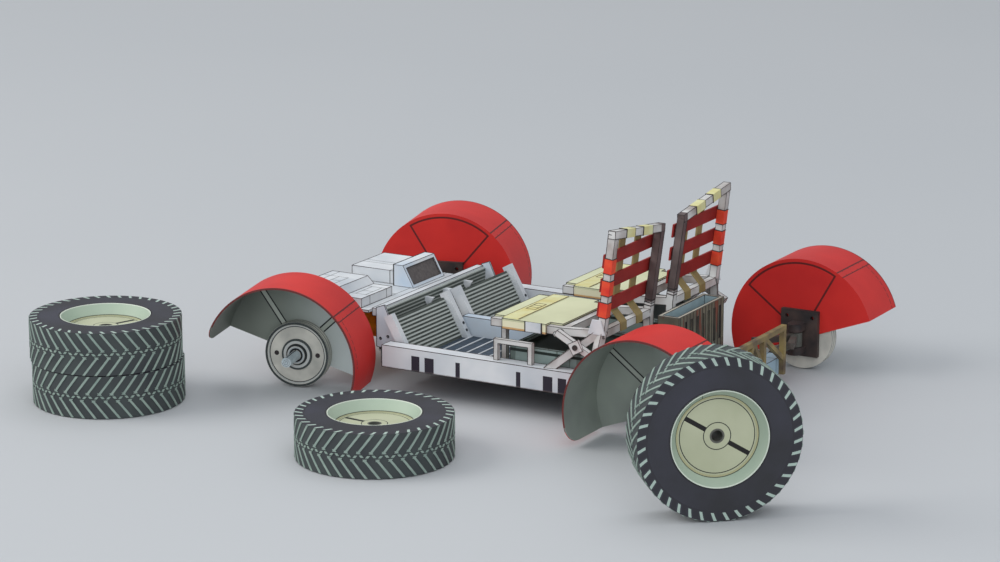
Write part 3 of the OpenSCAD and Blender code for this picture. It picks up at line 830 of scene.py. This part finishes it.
def tubeCard(name, darkInner):
    # white tube card with brown watercolour shading towards its edges
    sheet = Sheet(name)
    colour = sheet.wash(tone(206, 206, 204), tone(150, 140, 134), 95, 0.42, 0.72)
    if darkInner:
        y, z = abs(sheet.along((0, 1, 0))), sheet.along((0, 0, 1))
        post = (y < seatSizes["inner"] + seatSizes["tube"] + 0.1) * (z > 34) * (z < 62.5)
        inner = sheet.wash(tone(112, 98, 96), tone(66, 54, 54), 110, 0.3, 0.7)
        colour = sheet.mix(post, colour, inner)
    return sheet.finish(colour, 0.55)


def gusset(name, centre):
    # thin upright plate whose top edge is shorter than its foot
    size = seatSizes
    deselect()
    bpy.ops.mesh.primitive_cube_add(size=1)
    piece = bpy.context.object
    piece.name = name
    piece.data.transform(Matrix.Scale(mm, 4) @ Matrix.Diagonal((*size["gusset"], 1)))
    bpy.ops.object.mode_set(mode="EDIT")
    bpy.ops.mesh.select_mode(type="FACE")
    bpy.ops.mesh.select_all(action="DESELECT")
    bpy.ops.object.mode_set(mode="OBJECT")
    for face in piece.data.polygons:
        face.select = face.normal.z > 0.9
    bpy.ops.object.mode_set(mode="EDIT")
    bpy.ops.transform.resize(value=(size["gussetTop"], 1, 1))
    bpy.ops.mesh.select_all(action="SELECT")
    bpy.ops.mesh.bevel(offset=0.1 * mm, segments=1, affect="EDGES")
    bpy.ops.object.mode_set(mode="OBJECT")
    piece.data.transform(Matrix.Translation(Vector(centre) * mm))
    return piece


def makeSeats():
    size = seatSizes
    orange = plainCard("wrapOrangeCard", "wrapOrange", "red", 200)
    creamWrap = plainCard("wrapCreamCard", "strapTan", "cream", 160)
    ringCard = plainCard("ringCard", "line", "brown", 260)
    whiteWrap = plainCard("gussetCard", "white", "whiteShade", 140)
    webbing, pan = webbingCard(), panCard()
    frameCard = tubeCard("seatFrameCard", True)
    for name, side in sides.items():
        repaint("seat_webbing_" + name, webbing)
        repaint("seat_pan_" + name, pan)
        repaint("seat_frame_" + name, frameCard)
        repaint("seat_stay_" + name, tubeCard("stayCard_" + name, False))
        # red-orange wraps up the outer post
        wide = size["tube"] + 0.4
        parts = [stick("wrap", postPoint(a, False, side), postPoint(b, False, side),
                       wide, wide, 0.12, up=(1, 0, 0)) for a, b in size["wraps"]]
        dress(joinAs("post_wraps_" + name, parts), orange, "rover")
        # cream wraps over the top bar
        outer, inner = postPoint(1, False, side), postPoint(1, True, side)
        parts = [stick("wrap", outer.lerp(inner, a), outer.lerp(inner, b), wide, wide, 0.12)
                 for a, b in ((0.20, 0.38), (0.56, 0.76))]
        dress(joinAs("top_wraps_" + name, parts), creamWrap, "rover")
        # dark rings low on the inner post, and at the ends of each wrap
        parts = []
        for share in (0.08, 0.115, 0.15):
            parts.append(stick("ring", postPoint(share, True, side),
                               postPoint(share + 0.012, True, side),
                               size["tube"] + 0.24, size["tube"] + 0.24, 0.05, up=(1, 0, 0)))
        for a, b in size["wraps"]:
            for share in (a, b):
                parts.append(stick("ring", postPoint(share - 0.004, False, side),
                                   postPoint(share + 0.004, False, side),
                                   wide + 0.12, wide + 0.12, 0.03, up=(1, 0, 0)))
        for share in (0.20, 0.38, 0.56, 0.76):
            parts.append(stick("ring", outer.lerp(inner, share - 0.003),
                               outer.lerp(inner, share + 0.003),
                               wide + 0.12, wide + 0.12, 0.03))
        dress(joinAs("post_rings_" + name, parts), ringCard, "rover")
        # strap laid across the pan near its front, with brown edges and a plain buckle
        near, far = size["strap"]
        y0, y1 = size["inner"] + 0.4, size["inner"] + size["width"] - 0.4
        top = size["panTop"] + 0.1
        strap = stick("strap", mirrored(((near + far) / 2, y0, top), side),
                      mirrored(((near + far) / 2, y1, top), side), far - near, 0.2, 0.05)
        strap.name = "pan_strap_" + name
        dress(strap, creamWrap, "rover")
        parts = []
        for x in (near, far):
            parts.append(stick("edge", mirrored((x, y0, top + 0.1), side),
                               mirrored((x, y1, top + 0.1), side),
                               0.25, 0.12, 0.02))
        middle = (y0 + y1) / 2
        for y in (middle - 4, middle - 1.3, middle + 1.3, middle + 4):
            parts.append(stick("edge", mirrored((near + 1.2, y, top + 0.12), side),
                               mirrored((far - 1.2, y, top + 0.12), side), 0.3, 0.14, 0.02))
        for x in (near + 1.2, far - 1.2):
            parts.append(stick("edge", mirrored((x, middle - 4, top + 0.12), side),
                               mirrored((x, middle + 4, top + 0.12), side), 0.3, 0.14, 0.02))
        buckleInk = plainCard("buckleInk_" + name, "webbingTan", "brown", 300)
        dress(joinAs("buckle_" + name, parts), buckleInk, "rover")
        # clamps where the pan's front tube and side rail show
        edge = size["inner"] + size["width"]
        parts = []
        for x in size["clamps"]:
            parts.append(stick("clamp", mirrored((x, edge + 0.62, size["panTop"] + 0.15), side),
                               mirrored((x, edge + 0.62, size["panTop"] - 3.6), side),
                               0.35, 0.5, 0.08, up=(1, 0, 0)))
        dress(joinAs("pan_clamps_" + name, parts), ringCard, "rover")
        fore, aft = size["clamps"]
        short, low = size["sleeveShort"], size["panTop"] - 1.7
        sleeve = stick("sleeve", mirrored((fore - short, edge + 0.5, low), side),
                       mirrored((aft + short, edge + 0.5, low), side), 0.6, 3.4, 0.1)
        sleeve.name = "pan_sleeve_" + name
        dress(sleeve, whiteWrap, "rover")
        # gusset at the outer post's foot, narrower at its top
        foot = (size["backX"] + 1.2, edge + 0.35, size["panTop"] + 1.4)
        plate = gusset("post_gusset_" + name, mirrored(foot, side))
        dress(plate, whiteWrap, "rover")
        # bolt head on the stay's plate
        bolt = disc("stay_bolt_" + name, mirrored((size["boltX"], 48.9, size["panTop"] - 5), side),
                    (0, side, 0), 0.95, 0.35, inset=0.15)
        dress(bolt, ringCard, "rover")
    print("seats done")


# ---- rear ----
def makeRear():
    box = Sheet("seatBoxCard")
    z = box.along((0, 0, 1))
    colour = box.wash(inks["teal"], tone(104, 118, 112), 80)
    streak = box.add("ShaderNodeTexNoise", None, {
        "Vector": box.add("ShaderNodeMapping", None, {"Vector": box.place, "Scale": (1, 1, 0.08)}),
        "Scale": 420.0}, "Fac")
    colour = box.mix((streak > 0.58) * 0.6, colour, tone(70, 82, 74))
    colour = box.mix(box.within(z, 20.2, 21.2), colour, inks["tealDark"])
    boxCard = box.finish(colour, 0.6)
    for name in sides:
        repaint("seat_box_" + name, boxCard)
    tray = Sheet("binCard")
    x, y, z = (tray.along(axis) for axis in ((1, 0, 0), (0, 1, 0), (0, 0, 1)))
    wood = tray.wash(tone(122, 118, 100), tone(88, 84, 74), 140)
    rib = tray.repeat(y + 300, 2.4) < 0.35
    wood = tray.mix(rib, wood, tone(58, 54, 50))
    streak = tray.add("ShaderNodeTexNoise", None, {
        "Vector": tray.add("ShaderNodeMapping", None, {"Vector": tray.place, "Scale": (1, 1, 0.1)}),
        "Scale": 500.0}, "Fac")
    wood = tray.mix((streak > 0.62) * 0.7, wood, tone(128, 62, 48))
    hollow = tray.within(x, -48.6, -42.8) * tray.within(y, -27.4, 4.9)
    pale = tray.wash(tone(170, 190, 196), tone(140, 160, 164), 90)
    colour = tray.mix(hollow, wood, pale)
    colour = tray.mix(z > 28.35, colour, tone(176, 172, 158))
    repaint("rear_bin", tray.finish(colour, 0.6))
    rear = Sheet("rearBodyCard")
    x, y = rear.along((1, 0, 0)), rear.along((0, 1, 0))
    colour = rear.wash(tone(168, 190, 202), tone(140, 164, 178), 60)
    grid = (rear.repeat(x + 300, 8) < 0.16) | (rear.repeat(y + 300, 9) < 0.16)
    repaint("rear_body", rear.finish(rear.mix(grid, colour, tone(66, 82, 94)), 0.58))
    strut = plainCard("strutCard", "webbingTan", "brown", 150)
    arm = plainCard("armCard", "brown", "olive", 150)
    repaint("rear_truss", strut)
    for name in ("front_arms", "rear_arms"):
        repaint(name, arm)
    repaint("grab_frames", tubeCard("grabCard", False))
    print("rear done")


def makeChassis():
    for name in sides:
        repaint("side_beam_" + name, beamCard("beamCard_" + name))
    repaint("centre_spine", plainCard("spineCard", "paleBlue", "whiteShade"))
    repaint("floor_panel", floorCard())
    makeFloorSlats()
    makeFootRests()
    makeFront()
    makeRear()


inkedNodes = ["side_beam_left", "side_beam_right", "centre_spine", "front_crossbeam",
              "front_platform", "high_front_box", "low_front_box", "equipment_box",
              "display_console", "bulkhead_brackets", "seat_frame_left", "seat_frame_right",
              "seat_pan_left", "seat_pan_right", "seat_stay_left", "seat_stay_right",
              "grab_frames", "rear_bin", "rear_body", "seat_box_left", "seat_box_right"]


def makeInk():
    ink = plainCard("foldInk", "line", "brown", 400)
    for nodeName in inkedNodes:
        inkFolds(nodeName, ink)
    print("folds inked")


# ---- stage, light and camera ----
stageSizes = {"floorReach": 12.0, "lens": 116.33, "sensor": 36.0,
              "stand": (-516.69, 950.80, 304.86),
              "right": (-0.8697, -0.4937, 0.0), "up": (0.1199, -0.2111, 0.9701),
              "back": (-0.4789, 0.8437, 0.2428)}


def makeStage():
    size = stageSizes
    deselect()
    bpy.ops.mesh.primitive_plane_add(size=size["floorReach"], location=(0, 0, -0.00025))
    floor = bpy.context.object
    floor.name = "floor"
    sheet = Sheet("floorPaper")
    paper = sheet.wash(tone(187, 189, 191), tone(181, 184, 187), 1.2)
    floor.data.materials.append(sheet.finish(paper, 0.75, 0.05))
    world = bpy.data.worlds.new("softRoom")
    world.use_nodes = True
    world.node_tree.nodes["Background"].inputs["Color"].default_value = (0.83, 0.87, 0.92, 1)
    world.node_tree.nodes["Background"].inputs["Strength"].default_value = 0.62
    bpy.context.scene.world = world
    lamps = [("window", (1.5, 0.9, 1.25), 1.3, 22.0, (1.0, 0.98, 0.95)),
             ("fill", (-0.9, 1.3, 0.9), 1.6, 13.0, (0.92, 0.96, 1.0)),
             ("sky", (0.0, -0.3, 2.2), 2.0, 11.0, (0.97, 0.98, 1.0))]
    for name, spot, reach, power, colour in lamps:
        light = bpy.data.lights.new(name, "AREA")
        light.size = reach
        light.energy = power
        light.color = colour
        lamp = bpy.data.objects.new(name, light)
        lamp.location = spot
        lamp.rotation_euler = (-Vector(spot)).to_track_quat("-Z", "Y").to_euler()
        bpy.context.collection.objects.link(lamp)
    lens = bpy.data.cameras.new("viewer")
    lens.lens = size["lens"]
    lens.sensor_width = size["sensor"]
    lens.sensor_fit = "HORIZONTAL"
    lens.clip_start, lens.clip_end = 0.01, 50
    camera = bpy.data.objects.new("viewer", lens)
    turn = Matrix([size["right"], size["up"], size["back"]]).transposed().to_4x4()
    camera.matrix_world = Matrix.Translation(Vector(size["stand"]) * mm) @ turn
    bpy.context.collection.objects.link(camera)
    bpy.context.scene.camera = camera
    bpy.context.scene.view_settings.view_transform = "Standard"
    print("stage done")


makeStage()
makeUnits()
makeTread()
makeChassis()
makeSeats()
makeInk()
